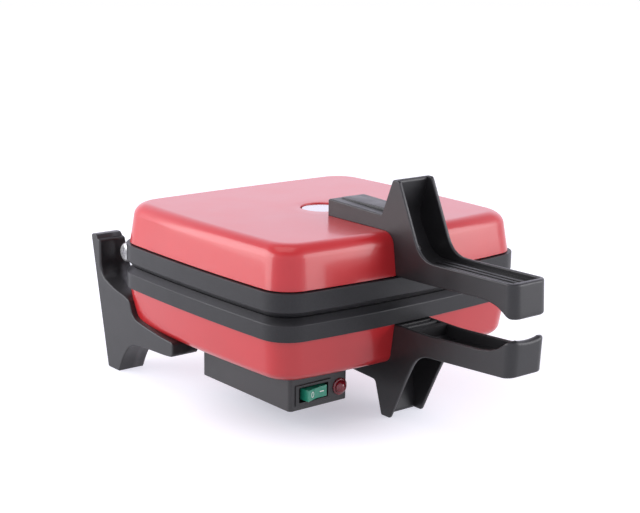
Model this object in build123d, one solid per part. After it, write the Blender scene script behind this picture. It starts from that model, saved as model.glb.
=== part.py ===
from build123d import *
import math
import os

# Double waffle maker. Millimetres, +X right as seen from the front, -Y to the front, +Z up.
# Pieces are drawn about the middle of the hot plates; save() moves them so that the origin
# lies under the middle of the whole box, on the surface that the feet stand on.

# Plan of the body: a rectangle with bowed sides and round corners
body_width = 248.5
body_front = 122.0
body_rear = 108.0
side_bow = 3.5
front_bow = 7.0
rear_bow = 2.0
corner_front = 24.0
corner_rear = 31.0

# Heights
parting_z = 92.0
parting_gap = 0.3
band_upper = 18.5
band_lower = 17.0
band_bevel = 4.7
shell_rise = 32.5
shell_draft = 8.0
shell_ledge = 2.5
shell_round = 11.0
shoulder_steps = 6
shell_sheet = 1.2
seat_gap = 0.3
hole_fit = 0.1
rim_rib_inset = 4.6
rim_rib_width = 2.0
rim_rib_height = 2.4

# Baking cavities in each plate
cavity_width = 101.0
cavity_length = 190.0
cavity_y = -6.5
cavity_deep = 11.0
cavity_corner = 12.0
cavity_draft = 15.0
divider = 14.0
stud_columns = 4
stud_rows = 8
stud_base = 17.0
stud_top = 13.0
stud_height = 8.0
cell_pitch_x = 22.0
cell_pitch_y = 22.4

# Tubular heating element, clamped on the back of each plate
element_dia = 8.0
element_legs = (-86.0, -28.0, 28.0, 86.0)
element_front = -84.0
element_rear = 58.0
bead_dia = 10.0
bead_lift = 1.2
bead_length = 14.0
pin_dia = 3.0
pin_length = 8.0
strap_width = 14.0
strap_sheet = 1.5
strap_y = (-45.0, 20.0)
strap_screw_x = (-57.0, 0.0, 57.0)
strap_boss_dia = 9.0
strap_screw_dia = 4.0
strap_screw_head = 7.2

# Centre stud that draws each shell onto its plate, and the dish with the bright disc
stud_dia = 8.0
stud_y = -12.0
boss_dia = 18.0
boss_height = 8.0
dish_dia = 35.0
dish_deep = 4.8
disc_dia = 33.4
disc_below = 1.0
disc_sheet = 0.8
nut_across = 13.0
nut_height = 2.0
washer_sheet = 0.6
washer_dia = 17.0

# Hinge, on steel lugs cast into the rear edge of the plates
hinge_y = 117.5
hinge_z = 95.0
hinge_dia = 8.0
hinge_clearance = 0.05
lug_radius = 9.0
lug_inner = 87.0
lug_thickness = 6.0
lug_gap = 0.5
lug_reach = 18.0
bush_wall = 1.5
hinge_washer = 0.8
hinge_head_dia = 16.0
hinge_head_height = 4.6
recess_width = 8.6
recess_slot = 1.6
recess_deep = 2.4
hinge_nut_height = 5.0
lid_opening = 80.0

# Front handles: one moulding on the lid, and its mirror image with a leg under the base
handle_half = 17.5
handle_edge = 0.8
handle_wall = 3.0
arm_end = 38.5
arm_height_end = 13.4
arm_height_root = 11.4
pad_half = 8.0
pad_rise = 2.6
bar_top = 35.6
bar_reach = 238.5
tip_lean = 1.5
tip_corner = 8.0
tray_floor = 31.4
tray_back = 126.0
tray_front = 4.4
rib_width = 1.8
rib_height = 1.5
hollow_roof = 27.6
hollow_start = 142.0
tip_wall = 8.5
ridge_grooves = ((124.5, 128.0), (131.0, 136.0))
groove_deep = 1.6
lower_lift = 0.084
lower_lift_from = 154.0
leg_foot_front = 117.0
leg_foot_rear = 106.8
handle_screw_dia = 5.0
handle_screw_head = 9.0
handle_screw_w = 37.0
handle_screw_seat = 3.5
arm_screw_u = 66.0

# Rear legs: each backs up the open lid and carries a rear corner of the base
leg_outer = 122.0
leg_inner = 98.0
post_top = 109.5
post_front = 128.2
post_rear = 142.0
leg_wall = 4.0
leg_screw_x = 106.5
leg_screw_y = (36.0, 64.0)
leg_screw_dia = 5.0
leg_screw_head = 9.0
leg_screw_sunk = 5.0
sleeve_dia = 9.0

# Control box under the front left corner
box_left = -98.5
box_right = -44.0
box_front = -98.0
box_back = 13.0
box_height = 26.2
box_wall = 2.2
box_roof = 2.2
box_corner = 3.0
cover_sheet = 2.4
cover_inset = 1.6
cover_post_dia = 7.5
cover_screw_dia = 3.0
cover_screw_head = 5.6
box_screw_dia = 4.0
box_screw_head = 7.2

# Rocker switch and lamp on the front of the box
switch_x = -77.0
switch_up = 11.5
bezel_width = 33.0
bezel_height = 15.6
bezel_proud = 1.2
switch_body_width = 29.6
switch_body_height = 13.6
switch_depth = 19.0
rocker_width = 24.0
rocker_height = 10.6
rocker_radius = 13.2
rocker_clearance = 0.35
rocker_pivot_deep = 2.0
rocker_centre_proud = 3.2
rocker_end_rise = 1.8
rocker_back = 5.5
rocker_pin_dia = 2.6
rocker_pin_length = 0.9
rocker_pin_clearance = 0.05
rocker_swing = 20.0
lamp_x = -51.6
lamp_up = 10.9
lamp_flange_dia = 13.0
lamp_flange = 1.2
lamp_dome = 3.6
lamp_barrel_dia = 9.4
lamp_barrel_length = 14.0
neon_dia = 6.0

# Cord bush at the back of the box
bush_dia = 13.0
bush_flange_dia = 16.0
bush_bore = 7.4
bush_length = 12.0
bush_up = 12.7

middle_y = (post_rear - bar_reach) / 2.0
lid_w = band_upper + shell_rise
base_w = band_lower + shell_rise
lid_top = parting_z + lid_w
base_bottom = parting_z - base_w
lean = math.tan(math.radians(shell_draft))
box_bottom = base_bottom - box_height
switch_z = box_bottom + switch_up
lamp_z = box_bottom + lamp_up
bush_z = box_bottom + bush_up


def save(name, *shapes):
    """Write the pieces of one node as separate solids, moved to the object's own origin."""
    found = []
    for shape in shapes:
        found.extend(shape.solids())
    if len(found) == 1:
        whole = found[0]
    else:
        whole = Compound(children=found)
    export_step(Pos(0, -middle_y, 0) * whole, "parts/" + name + ".step")


def block(x0, x1, y0, y1, z0, z1):
    """A block between two corners."""
    return Pos(x0, y0, z0) * Box(x1 - x0, y1 - y0, z1 - z0, align=(Align.MIN, Align.MIN, Align.MIN))


def rod(dia, start, direction, length):
    """A round bar from a point along a direction."""
    return extrude(Plane(origin=start, z_dir=direction) * Circle(dia / 2), amount=length)


def hole(dia, start, direction, length):
    """The bar that cuts a hole with a little room for a screw or pin of that diameter."""
    return rod(dia + hole_fit, start, direction, length)


def hex_bar(across, start, direction, length):
    """A hexagonal bar from a point along a direction."""
    shape = RegularPolygon(across / math.sqrt(3), 6)
    return extrude(Plane(origin=start, z_dir=direction) * shape, amount=length)


def flipped(shape):
    """The same shape on the other side of the parting plane."""
    return mirror(shape, about=Plane.XY.offset(parting_z))


def opposite(shape):
    """The same shape on the other side of the middle plane."""
    return mirror(shape, about=Plane.YZ)


def side_face(points):
    """A face in the middle plane from (distance forward, height over the parting plane)."""
    corners = [(0, -u, parting_z + w) for u, w in points]
    return make_face(Polyline(*corners, close=True))


def across(face, half):
    """Extrude a side face equally to left and right."""
    return extrude(face, amount=half, dir=(1, 0, 0), both=True)


def plan(inset=0.0):
    """The bowed rectangle with round corners, drawn in by a distance all round."""
    half = body_width / 2 - side_bow - inset
    front = -(body_front - front_bow - inset)
    rear = body_rear - rear_bow - inset
    middle = (front + rear) / 2
    sides = [
        ThreePointArc((-half, front), (0, front - front_bow), (half, front)),
        ThreePointArc((half, front), (half + side_bow, middle), (half, rear)),
        ThreePointArc((half, rear), (0, rear + rear_bow), (-half, rear)),
        ThreePointArc((-half, rear), (-half - side_bow, middle), (-half, front)),
    ]
    face = make_face(Wire(sides))
    sharp = [v for v in face.vertices() if v.Y < 0]
    face = fillet(sharp, corner_front - inset * 0.4)
    sharp = [v for v in face.vertices() if v.Y > rear - 1.0]
    return fillet(sharp, corner_rear - inset * 0.8)


def slab(inset, w0, w1):
    """The plan outline as a plate between two heights over the parting plane."""
    return extrude(Pos(0, 0, parting_z + w0) * plan(inset), amount=w1 - w0)


def shell_form(band, grow=0.0):
    """The drawn dome of a shell as a solid that stands on its band; grow moves its surface out."""
    wall_angle = math.radians(shell_draft)
    turn_h = shell_rise - shell_round
    turn_inset = shell_ledge + turn_h * lean + shell_round / math.cos(wall_angle)
    radius = shell_round + grow
    foot_inset = shell_ledge - grow / math.cos(wall_angle)
    rings = [(foot_inset, 0.0), (foot_inset + turn_h * lean / 2, turn_h / 2)]
    for step in range(shoulder_steps + 1):
        angle = wall_angle + (math.pi / 2 - wall_angle) * step / shoulder_steps
        rings.append((turn_inset - radius * math.cos(angle), turn_h + radius * math.sin(angle)))
    return loft([Pos(0, 0, parting_z + band + h) * plan(inset) for inset, h in rings], ruled=True)


def cavity(side):
    """One baking cavity, open at the parting face, with sloping walls."""
    middle_x = side * (divider + cavity_width) / 2
    mouth = Pos(middle_x, cavity_y, parting_z + parting_gap / 2)
    outline = mouth * RectangleRounded(cavity_width, cavity_length, cavity_corner)
    return extrude(outline, amount=cavity_deep, taper=cavity_draft)


def pyramids(side):
    """The studs that press the waffle pattern, one grid in a cavity."""
    roof = parting_z + parting_gap / 2 + cavity_deep
    root = Pos(0, 0, roof + 0.5) * Rectangle(stud_base, stud_base)
    tip = Pos(0, 0, roof - stud_height) * Rectangle(stud_top, stud_top)
    pyramid = loft([root, tip])
    middle = Pos(side * (divider + cavity_width) / 2, cavity_y, 0)
    grid = []
    for spot in GridLocations(cell_pitch_x, cell_pitch_y, stud_columns, stud_rows):
        grid.append(middle * spot * pyramid)
    return grid


def plate_core(band):
    """Rim, floor, studs and back bosses, the same on both plates."""
    low = parting_gap / 2
    body = slab(0.0, low + band_bevel, band)
    face = Pos(0, 0, parting_z + low) * plan(band_bevel)
    rim = Pos(0, 0, parting_z + low + band_bevel) * plan(0.0)
    body += loft([face, rim])
    for side in (-1, 1):
        body -= cavity(side) - pyramids(side)
    body += slab(rim_rib_inset, band, band + rim_rib_height) - slab(
        rim_rib_inset + rim_rib_width, band - 1, band + rim_rib_height + 1)
    top = parting_z + band
    body += rod(boss_dia, (0, stud_y, top), (0, 0, 1), boss_height)
    for x in strap_screw_x:
        for y in strap_y:
            body += rod(strap_boss_dia, (x, y, top), (0, 0, 1), element_dia)
            body -= hole(strap_screw_dia, (x, y, top + element_dia), (0, 0, -1), 6.0)
    body -= hole(stud_dia, (0, stud_y, top + 1.0), (0, 0, 1), boss_height)
    return body


def ear(x0, x1, low, high):
    """A hinge ear: a round eye about the hinge axis on a root that runs into the band."""
    eye = rod(2 * lug_radius, (x0, hinge_y, hinge_z), (1, 0, 0), x1 - x0)
    return eye + block(x0, x1, hinge_y - lug_reach, hinge_y, low, high)


outer_ear = lug_inner + lug_thickness + lug_gap
bush_dia_outer = hinge_dia + 2 * hinge_clearance + 2 * bush_wall


def hinge_bore(dia):
    """The bore along the hinge axis through all the ears."""
    return hole(dia, (-body_width / 2, hinge_y, hinge_z), (1, 0, 0), body_width)


def upper_lugs():
    """The lid's outer hinge lugs, steel inserts that are cast into the plate."""
    one = ear(outer_ear, outer_ear + lug_thickness, parting_z + 1.5, hinge_z + lug_radius)
    one -= hinge_bore(bush_dia_outer)
    return [one, opposite(one)]


def lower_lugs():
    """The base's inner hinge lugs, steel inserts that are cast into the plate."""
    one = ear(lug_inner, lug_inner + lug_thickness, parting_z - band_lower + 1.0, parting_z - 0.8)
    one -= hinge_bore(hinge_dia)
    return [one, opposite(one)]


def upper_plate():
    """The lid's hot plate, with the pockets that the steel lugs fill."""
    body = plate_core(band_upper)
    for one in upper_lugs():
        body -= one
    return body


def lower_plate():
    """The base's hot plate, with the lugs' pockets and bores for the leg screws."""
    body = flipped(plate_core(band_lower))
    for one in lower_lugs():
        body -= one
    for side in (-1, 1):
        for y in leg_screw_y:
            start = (side * leg_screw_x, y, parting_z - band_lower)
            body -= hole(leg_screw_dia, start, (0, 0, 1), 8.0)
    return body


def heater(band):
    """Sheathed heater bent in an M on the plate's back, with beads and pins at its ends."""
    z = parting_z + band + element_dia / 2
    a, b, c, d = element_legs
    turn = (b - a) / 2
    rear_turn = (c - b) / 2
    low = element_front + turn
    high = element_rear - rear_turn
    path = Wire([
        Line((a, element_rear, z), (a, low, z)),
        ThreePointArc((a, low, z), (a + turn, element_front, z), (b, low, z)),
        Line((b, low, z), (b, high, z)),
        ThreePointArc((b, high, z), (0, element_rear, z), (c, high, z)),
        Line((c, high, z), (c, low, z)),
        ThreePointArc((c, low, z), (c + turn, element_front, z), (d, low, z)),
        Line((d, low, z), (d, element_rear, z)),
    ])
    section = Plane(origin=(a, element_rear, z), z_dir=(0, -1, 0)) * Circle(element_dia / 2)
    tube = sweep(section, path=path)
    bead_z = z + bead_lift
    for x in (a, d):
        tube += rod(bead_dia, (x, element_rear, bead_z), (0, 1, 0), bead_length)
        tube += rod(pin_dia, (x, element_rear + bead_length, bead_z), (0, 1, 0), pin_length)
    return tube


def straps(band):
    """Two pressed strips that hold the heater down on the plate's bosses."""
    z = parting_z + band + element_dia
    made = []
    for y in strap_y:
        strip = block(element_legs[0] - 7, element_legs[-1] + 7, y - strap_width / 2,
                      y + strap_width / 2, z, z + strap_sheet)
        for x in strap_screw_x:
            strip -= hole(strap_screw_dia, (x, y, z - 1), (0, 0, 1), 4)
        made.append(strip)
    return made


def strap_screws(band):
    """The screws of the heater straps."""
    z = parting_z + band + element_dia
    made = []
    for y in strap_y:
        for x in strap_screw_x:
            head = rod(strap_screw_head, (x, y, z + strap_sheet), (0, 0, 1), 2.4)
            made.append(head + rod(strap_screw_dia, (x, y, z - 6.0), (0, 0, 1), 6.0 + strap_sheet))
    return made


def dish(grow):
    """The round well in the middle of the lid."""
    start = (0, stud_y, lid_top - dish_deep - grow)
    return rod(dish_dia + 2 * grow, start, (0, 0, 1), dish_deep + 10)


def upper_shell():
    """The lid's red cover with the dish in its top and the holes for the handle's screws."""
    skin = (shell_form(band_upper) - dish(0.0)) - (shell_form(band_upper, -shell_sheet) - dish(shell_sheet))
    skin -= hole(stud_dia, (0, stud_y, lid_top - 20), (0, 0, 1), 30)
    for cut in handle_holes(band_upper):
        skin -= cut
    return skin


def lower_shell():
    """The base's red cover with holes for the stud, handle, leg and box screws."""
    skin = shell_form(band_lower) - shell_form(band_lower, -shell_sheet)
    skin -= hole(stud_dia, (0, stud_y, parting_z + base_w - 10), (0, 0, 1), 20)
    for cut in handle_holes(band_lower):
        skin -= cut
    skin = flipped(skin)
    for side in (-1, 1):
        for y in leg_screw_y:
            skin -= hole(leg_screw_dia, (side * leg_screw_x, y, 0), (0, 0, 1), parting_z - band_lower)
    for x, y in box_screws_at:
        skin -= hole(box_screw_dia, (x, y, base_bottom - 2), (0, 0, 1), 12)
    return skin


def centre_stud(band, seat, tail):
    """Threaded stud from the plate's boss, with the washer and thin nut on the shell."""
    start = (0, stud_y, parting_z + band + 1.0)
    stud = rod(stud_dia, start, (0, 0, 1), seat + tail - start[2])
    washer = rod(washer_dia, (0, stud_y, seat), (0, 0, 1), washer_sheet)
    nut = hex_bar(nut_across, (0, stud_y, seat + washer_sheet), (0, 0, 1), nut_height)
    bore = hole(stud_dia, (0, stud_y, seat - 1), (0, 0, 1), 10)
    return [stud, washer - bore, nut - bore]


def cover_disc():
    """Bright pressed cap that stands in the dish over the nut."""
    r = disc_dia / 2
    low = lid_top - dish_deep
    high = lid_top - disc_below
    cap = rod(disc_dia, (0, stud_y, low), (0, 0, 1), high - low)
    cap = fillet(cap.edges().group_by(Axis.Z)[-1], 0.6)
    return cap - hole(2 * (r - disc_sheet), (0, stud_y, low - 1), (0, 0, 1), high - low + 1 - disc_sheet)


def lift(points, amount):
    """Tilt the bar part of a profile towards the parting plane."""
    moved = []
    for u, w in points:
        moved.append((u, w - max(0.0, u - lower_lift_from) * amount))
    return moved


def handle_holes(band):
    """Holes for the two screws of a handle."""
    z = parting_z + handle_screw_w
    front = hole(handle_screw_dia, (0, -body_front + 30, z), (0, -1, 0), 40)
    roof = parting_z + band + shell_rise
    return front, hole(handle_screw_dia, (0, -arm_screw_u, roof - 8), (0, 0, 1), 17)


def front_wall(band):
    """How far forward the shell's front wall stands at the height of the handle's screw."""
    return body_front - shell_ledge - (handle_screw_w - band) * lean


def handle(band, upright, slope):
    """Arm over the shell, channelled upright, and the bar with a tray above and a hollow below."""
    root = band + shell_rise
    low = band + 0.4
    reach = bar_reach
    top = max(w for u, w in upright)
    outline = [(arm_end, root - 8), (arm_end, root + arm_height_end - 3.0),
               (arm_end + 0.9, root + arm_height_end - 0.9), (arm_end + 3.0, root + arm_height_end)] + upright
    outline += lift([
        (145.0, bar_top + 2.6), (149.5, bar_top - 0.2), (reach - tip_lean, bar_top + 1.2), (reach, low - 5.4),
        (reach - 1.2, low - 6.6), (reach - 4.0, low - 6.6), (reach - 9.8, low - 3.3), (reach - 16.6, low - 0.1),
        (reach - 22.4, low + 1.4), (reach - 32.0, low + 2.4), (175.0, low + 1.4), (155.0, low + 0.7),
        (body_front - 10, low)], slope)
    outline += [(body_front - 20, root - 8)]
    body = across(side_face(outline), handle_half)
    sides = [e for e in body.edges() if abs(abs(e.center().X) - handle_half) < 0.01]
    body = chamfer(sides, handle_edge)
    for side in (-1, 1):
        x = side * (handle_half - tip_corner)
        middle = (x, tip_corner - reach, parting_z - 10)
        corner = Pos(x + side * tip_corner, 1 - reach, parting_z - 10) * Box(
            2 * tip_corner, 2 * tip_corner + 2, top + 20, align=(Align.CENTER, Align.CENTER, Align.MIN))
        body -= corner - rod(2 * tip_corner, middle, (0, 0, 1), top + 20)
    body -= shell_form(band, seat_gap)
    # the front-open channel of the upright, running out into the tray on the bar
    wall = handle_wall
    inner = handle_half - wall
    channel = [(upright[1][0] + wall + 0.4, top - wall), (upright[0][0] + wall + 1.6, root + 8.0)]
    channel += [(upright[0][0] + 9.0, root + 2.5), (front_wall(band) + 1.0, root - 8.0), (tray_back, tray_floor)]
    channel += lift([(lower_lift_from, tray_floor), (reach - tray_front, tray_floor + 1.0),
                     (reach - tray_front, top + 20)], slope)
    channel += [(upright[1][0] + 40, top - wall)]
    tray_face = make_face(Polyline(
        (-inner, -80), (-inner, -reach + tray_front), (inner, -reach + tray_front), (inner, -80), close=True))
    tray_face = fillet([v for v in tray_face.vertices() if v.Y < -200], tip_corner - wall)
    body -= across(side_face(channel), inner + 1) & extrude(Pos(0, 0, parting_z - 10) * tray_face, amount=top + 20)
    # three long ribs on the tray's floor
    for i in (-1, 0, 1):
        rib = lift([(lower_lift_from, tray_floor - 0.6), (lower_lift_from, tray_floor + rib_height),
                    (reach - 9, tray_floor + rib_height + 0.8), (reach - 9, tray_floor - 0.6)], slope)
        body += Pos(i * 5.6, 0, 0) * across(side_face(rib), rib_width / 2)
    # the hollow underside, with two cross grooves beside the root
    hollow = lift([(hollow_start, low - 12), (hollow_start, hollow_roof - 2), (hollow_start + 3, hollow_roof),
                   (lower_lift_from, hollow_roof), (reach - tip_wall - 3, hollow_roof + 0.8),
                   (reach - tip_wall, hollow_roof - 2), (reach - tip_wall, low - 12)], slope)
    body -= across(side_face(hollow), inner - 1.0)
    for u0, u1 in ridge_grooves:
        body -= block(-inner, inner, -u1, -u0, parting_z, parting_z + low + groove_deep)
    # the raised pad along the arm
    pad = [(arm_end + 2.5, root + 4), (arm_end + 2.5, root + arm_height_end - 0.4),
           (arm_end + 7.0, root + arm_height_end + 0.5), (upright[0][0] + 2, upright[0][1] + pad_rise),
           (upright[0][0] + 2, root + 4)]
    body += across(side_face(pad), pad_half)
    for cut in handle_holes(band):
        body -= cut
    seat = front_wall(band) + handle_screw_seat
    body -= hole(handle_screw_head + 1.0, (0, -seat, parting_z + handle_screw_w), (0, -1, 0), 12)
    return body


upper_upright = [
    (102.0, lid_w + arm_height_root), (112.8, 89.5), (114.5, 90.2), (118.6, 90.2), (120.4, 89.0),
    (133.3, 60.8), (141.0, 43.6)]
lower_upright = [
    (99.0, base_w + 16.6), (leg_foot_rear, parting_z - 0.8), (leg_foot_rear + 0.8, parting_z),
    (leg_foot_front - 0.8, parting_z), (leg_foot_front, parting_z - 0.8), (132.4, 59.5), (141.0, 43.6)]


def handle_screws(band):
    """Round-headed screw and nut through the front wall, and a screw up from inside the shell."""
    z = parting_z + handle_screw_w
    wall = front_wall(band)
    seat = wall + handle_screw_seat
    first = rod(handle_screw_dia, (0, -wall + 9, z), (0, -1, 0), seat + 9 - wall)
    head = rod(handle_screw_head, (0, -seat, z), (0, -1, 0), 3.0)
    head = fillet(head.edges().group_by(Axis.Y)[0], 1.8)
    head -= block(-0.6, 0.6, -seat - 3.1, -seat - 1.8, z - 3.4, z + 3.4)
    nut = hex_bar(8.0, (0, -wall + shell_sheet + 1.5, z), (0, 1, 0), 4.0)
    nut -= hole(handle_screw_dia, (0, -wall, z), (0, 1, 0), 12)
    under = parting_z + band + shell_rise - shell_sheet
    second = rod(handle_screw_dia, (0, -arm_screw_u, under), (0, 0, 1), shell_sheet + 9.0)
    second += rod(handle_screw_head, (0, -arm_screw_u, under), (0, 0, -1), 3.0)
    return [first + head, nut, second]


def turned(shape, angle):
    """A piece of the lid turned about the hinge axis, positive to open."""
    return shape.rotate(Axis((0, hinge_y, hinge_z), (-1, 0, 0)), angle)


def rear_leg():
    """Right rear leg: foot, post behind the hinge and the arm that grips under the base."""
    points = [
        (101.5, 0), (117.5, 0), (119.0, 1.5), (post_rear, post_top - 1.5), (post_rear - 1.5, post_top),
        (post_front + 3.0, post_top), (post_front + 0.9, post_top - 0.9), (post_front, post_top - 3.0),
        (post_front, 83.0), (126.8, 79.0), (123.5, 75.4), (117.0, 71.9), (106.0, 69.2), (92.0, 66.6),
        (82.0, 64.2), (75.0, 61.0), (68.0, 55.5), (60.0, 50.5), (50.0, 47.6), (24.0, 46.0), (22.5, 44.5),
        (22.5, 34.0), (24.5, 32.2), (31.0, 30.9), (53.0, 29.8), (70.0, 29.4), (80.0, 27.7), (89.0, 22.7),
        (94.5, 14.0), (100.0, 1.5)]
    face = make_face(Polyline(*[(0, y, z) for y, z in points], close=True))
    body = Pos(leg_inner, 0, 0) * extrude(face, amount=leg_outer - leg_inner, dir=(1, 0, 0))
    edges = [e for e in body.edges() if abs(e.center().X - leg_outer) < 0.01]
    body = chamfer(edges, 0.8)
    shell_solid = flipped(shell_form(band_lower, seat_gap))
    body -= shell_solid
    body -= extrude(Pos(0, 0, parting_z - band_lower - seat_gap) * plan(-0.5), amount=band_lower + 2)
    body -= turned(slab(-0.4, 0, band_upper + 0.4), lid_opening)
    body -= turned(shell_form(band_upper, 0.4), lid_opening)
    # hollow from the inner side, open to the middle of the appliance
    inner = offset(face, amount=-leg_wall)
    hollow = Pos(leg_inner - 1, 0, 0) * extrude(inner, amount=leg_outer - leg_wall + 1 - leg_inner, dir=(1, 0, 0))
    hollow -= flipped(shell_form(band_lower, seat_gap + leg_wall))
    hollow -= block(leg_inner - 2, leg_outer, 0, 90, 0, 80)
    hollow -= turned(slab(-4.0, 0, band_upper + 4.0), lid_opening)
    body -= hollow
    for y in leg_screw_y:
        body -= hole(leg_screw_dia, (leg_screw_x, y, 0), (0, 0, 1), 60)
        body -= hole(leg_screw_head + 1.0, (leg_screw_x, y, 0), (0, 0, 1), 29.8 + leg_screw_sunk)
    return body


def leg_screws():
    """Screws up through the legs, the shell and the sleeves into the lower plate."""
    made = []
    seat = 29.8 + leg_screw_sunk
    for x in (-leg_screw_x, leg_screw_x):
        for y in leg_screw_y:
            shank = rod(leg_screw_dia, (x, y, seat), (0, 0, 1), parting_z - band_lower + 7.0 - seat)
            made.append(shank + rod(leg_screw_head, (x, y, seat), (0, 0, -1), 3.0))
    return made


def sleeves():
    """Spacer sleeves on the leg screws between the shell's floor and the plate."""
    made = []
    inside = flipped(shell_form(band_lower, -shell_sheet))
    for x in (-leg_screw_x, leg_screw_x):
        for y in leg_screw_y:
            tube = rod(sleeve_dia, (x, y, base_bottom - 2), (0, 0, 1), base_w - band_lower + 2)
            tube -= hole(leg_screw_dia, (x, y, base_bottom - 3), (0, 0, 1), base_w)
            made.append(tube & inside)
    return made


def hinge_parts():
    """Right-hand screw with its nut, the washer pair and the bush that turns with the lid."""
    seat = outer_ear + lug_thickness + hinge_washer
    start = lug_inner - hinge_nut_height - 2.0
    axis = (1, 0, 0)
    screw = rod(hinge_dia, (start, hinge_y, hinge_z), axis, seat - start)
    head = rod(hinge_head_dia, (seat, hinge_y, hinge_z), axis, hinge_head_height)
    head = fillet(head.edges().group_by(Axis.X)[-1], 3.4)
    outer = seat + hinge_head_height
    for turn in (0, 90):
        slot = block(outer - recess_deep, outer + 1, -recess_width / 2, recess_width / 2,
                     -recess_slot / 2, recess_slot / 2)
        head -= Pos(0, hinge_y, hinge_z) * (Rot(turn, 0, 0) * slot)
    nut = hex_bar(13.0, (lug_inner, hinge_y, hinge_z), (-1, 0, 0), hinge_nut_height)
    nut -= hole(hinge_dia, (start, hinge_y, hinge_z), axis, 20)
    washers = []
    for x, sheet in ((lug_inner + lug_thickness, lug_gap), (seat - hinge_washer, hinge_washer)):
        ring = rod(15.0, (x, hinge_y, hinge_z), axis, sheet)
        washers.append(ring - hole(hinge_dia, (x - 1, hinge_y, hinge_z), axis, 4))
    bush = rod(bush_dia_outer, (outer_ear, hinge_y, hinge_z), axis, lug_thickness)
    bush -= rod(hinge_dia + 2 * hinge_clearance, (outer_ear - 1, hinge_y, hinge_z), axis, 12)
    return screw + head, nut, washers, bush


box_screws_at = ((-84.0, -70.0), (-58.0, -70.0), (-71.0, -16.0))
cover_posts_at = ((-91.5, -56.0), (-50.5, -60.0), (-71.0, 2.5))


def control_box():
    """Moulded housing, closed above against the base's shell and open below."""
    body = block(box_left, box_right, box_front, box_back, box_bottom, base_bottom + 6)
    upright = [e for e in body.edges().filter_by(Axis.Z)]
    body = fillet(upright, box_corner)
    inside = block(box_left + box_wall, box_right - box_wall, box_front + box_wall, box_back - box_wall,
                   box_bottom - 1, base_bottom - box_roof)
    body -= inside
    body -= block(box_left + cover_inset, box_right - cover_inset, box_front + cover_inset,
                  box_back - cover_inset, box_bottom - 1, box_bottom + cover_sheet)
    body -= flipped(shell_form(band_lower, 0.05))
    for x, y in cover_posts_at:
        post = rod(cover_post_dia, (x, y, box_bottom + cover_sheet), (0, 0, 1), box_height - cover_sheet - box_roof)
        body += post
        body -= hole(cover_screw_dia, (x, y, box_bottom), (0, 0, 1), 14)
    for x, y in box_screws_at:
        body -= hole(box_screw_dia, (x, y, base_bottom - 5), (0, 0, 1), 10)
    half_w = switch_body_width / 2
    half_h = switch_body_height / 2
    body -= block(switch_x - half_w, switch_x + half_w, box_front - 1, box_front + 6,
                  switch_z - half_h, switch_z + half_h)
    body -= hole(lamp_barrel_dia, (lamp_x, box_front - 1, lamp_z), (0, 1, 0), 6)
    bush_x = (box_left + box_right) / 2
    body -= hole(bush_dia, (bush_x, box_back - 6, bush_z), (0, 1, 0), 10)
    return body


def box_cover():
    """Flat bottom plate set into the housing, with holes for its screws."""
    gap = 0.2
    plate = block(box_left + cover_inset + gap, box_right - cover_inset - gap, box_front + cover_inset + gap,
                  box_back - cover_inset - gap, box_bottom, box_bottom + cover_sheet)
    for x, y in cover_posts_at:
        plate -= hole(cover_screw_dia, (x, y, box_bottom - 1), (0, 0, 1), 6)
    return plate


def cover_screws():
    """Screws of the bottom plate."""
    made = []
    for x, y in cover_posts_at:
        head = rod(cover_screw_head, (x, y, box_bottom), (0, 0, -1), 1.8)
        made.append(head + rod(cover_screw_dia, (x, y, box_bottom), (0, 0, 1), 13.0))
    return made


def box_screws():
    """Screws with nuts that hold the housing under the base's shell."""
    made = []
    for x, y in box_screws_at:
        under = base_bottom - box_roof
        screw = rod(box_screw_head, (x, y, under), (0, 0, -1), 2.4)
        screw += rod(box_screw_dia, (x, y, under), (0, 0, 1), 9.0)
        nut = hex_bar(7.0, (x, y, base_bottom + shell_sheet), (0, 0, 1), 3.2)
        made.append(screw)
        made.append(nut - hole(box_screw_dia, (x, y, base_bottom), (0, 0, 1), 10))
    return made


def switch_housing():
    """Bezel on the box's front with the switch body behind it, open for the rocker."""
    half_w = switch_body_width / 2
    half_h = switch_body_height / 2
    body = block(switch_x - bezel_width / 2, switch_x + bezel_width / 2, box_front - bezel_proud, box_front,
                 switch_z - bezel_height / 2, switch_z + bezel_height / 2)
    body = chamfer(body.edges().group_by(Axis.Y)[0], 0.4)
    body += block(switch_x - half_w, switch_x + half_w, box_front, box_front + switch_depth,
                  switch_z - half_h, switch_z + half_h)
    open_w = rocker_radius + rocker_clearance
    open_h = rocker_height / 2 + rocker_clearance
    body -= block(switch_x - open_w, switch_x + open_w, box_front - 2, box_front + rocker_back + 4,
                  switch_z - open_h, switch_z + open_h)
    body -= rod(rocker_pin_dia + 2 * rocker_pin_clearance,
                (switch_x, box_front + rocker_pivot_deep, switch_z - half_h), (0, 0, 1), switch_body_height)
    for x in (-8.0, 0.0, 8.0):
        body += block(switch_x + x - 0.4, switch_x + x + 0.4, box_front + switch_depth,
                      box_front + switch_depth + 7.0, switch_z - 3.1, switch_z + 3.1)
    return body


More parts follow.
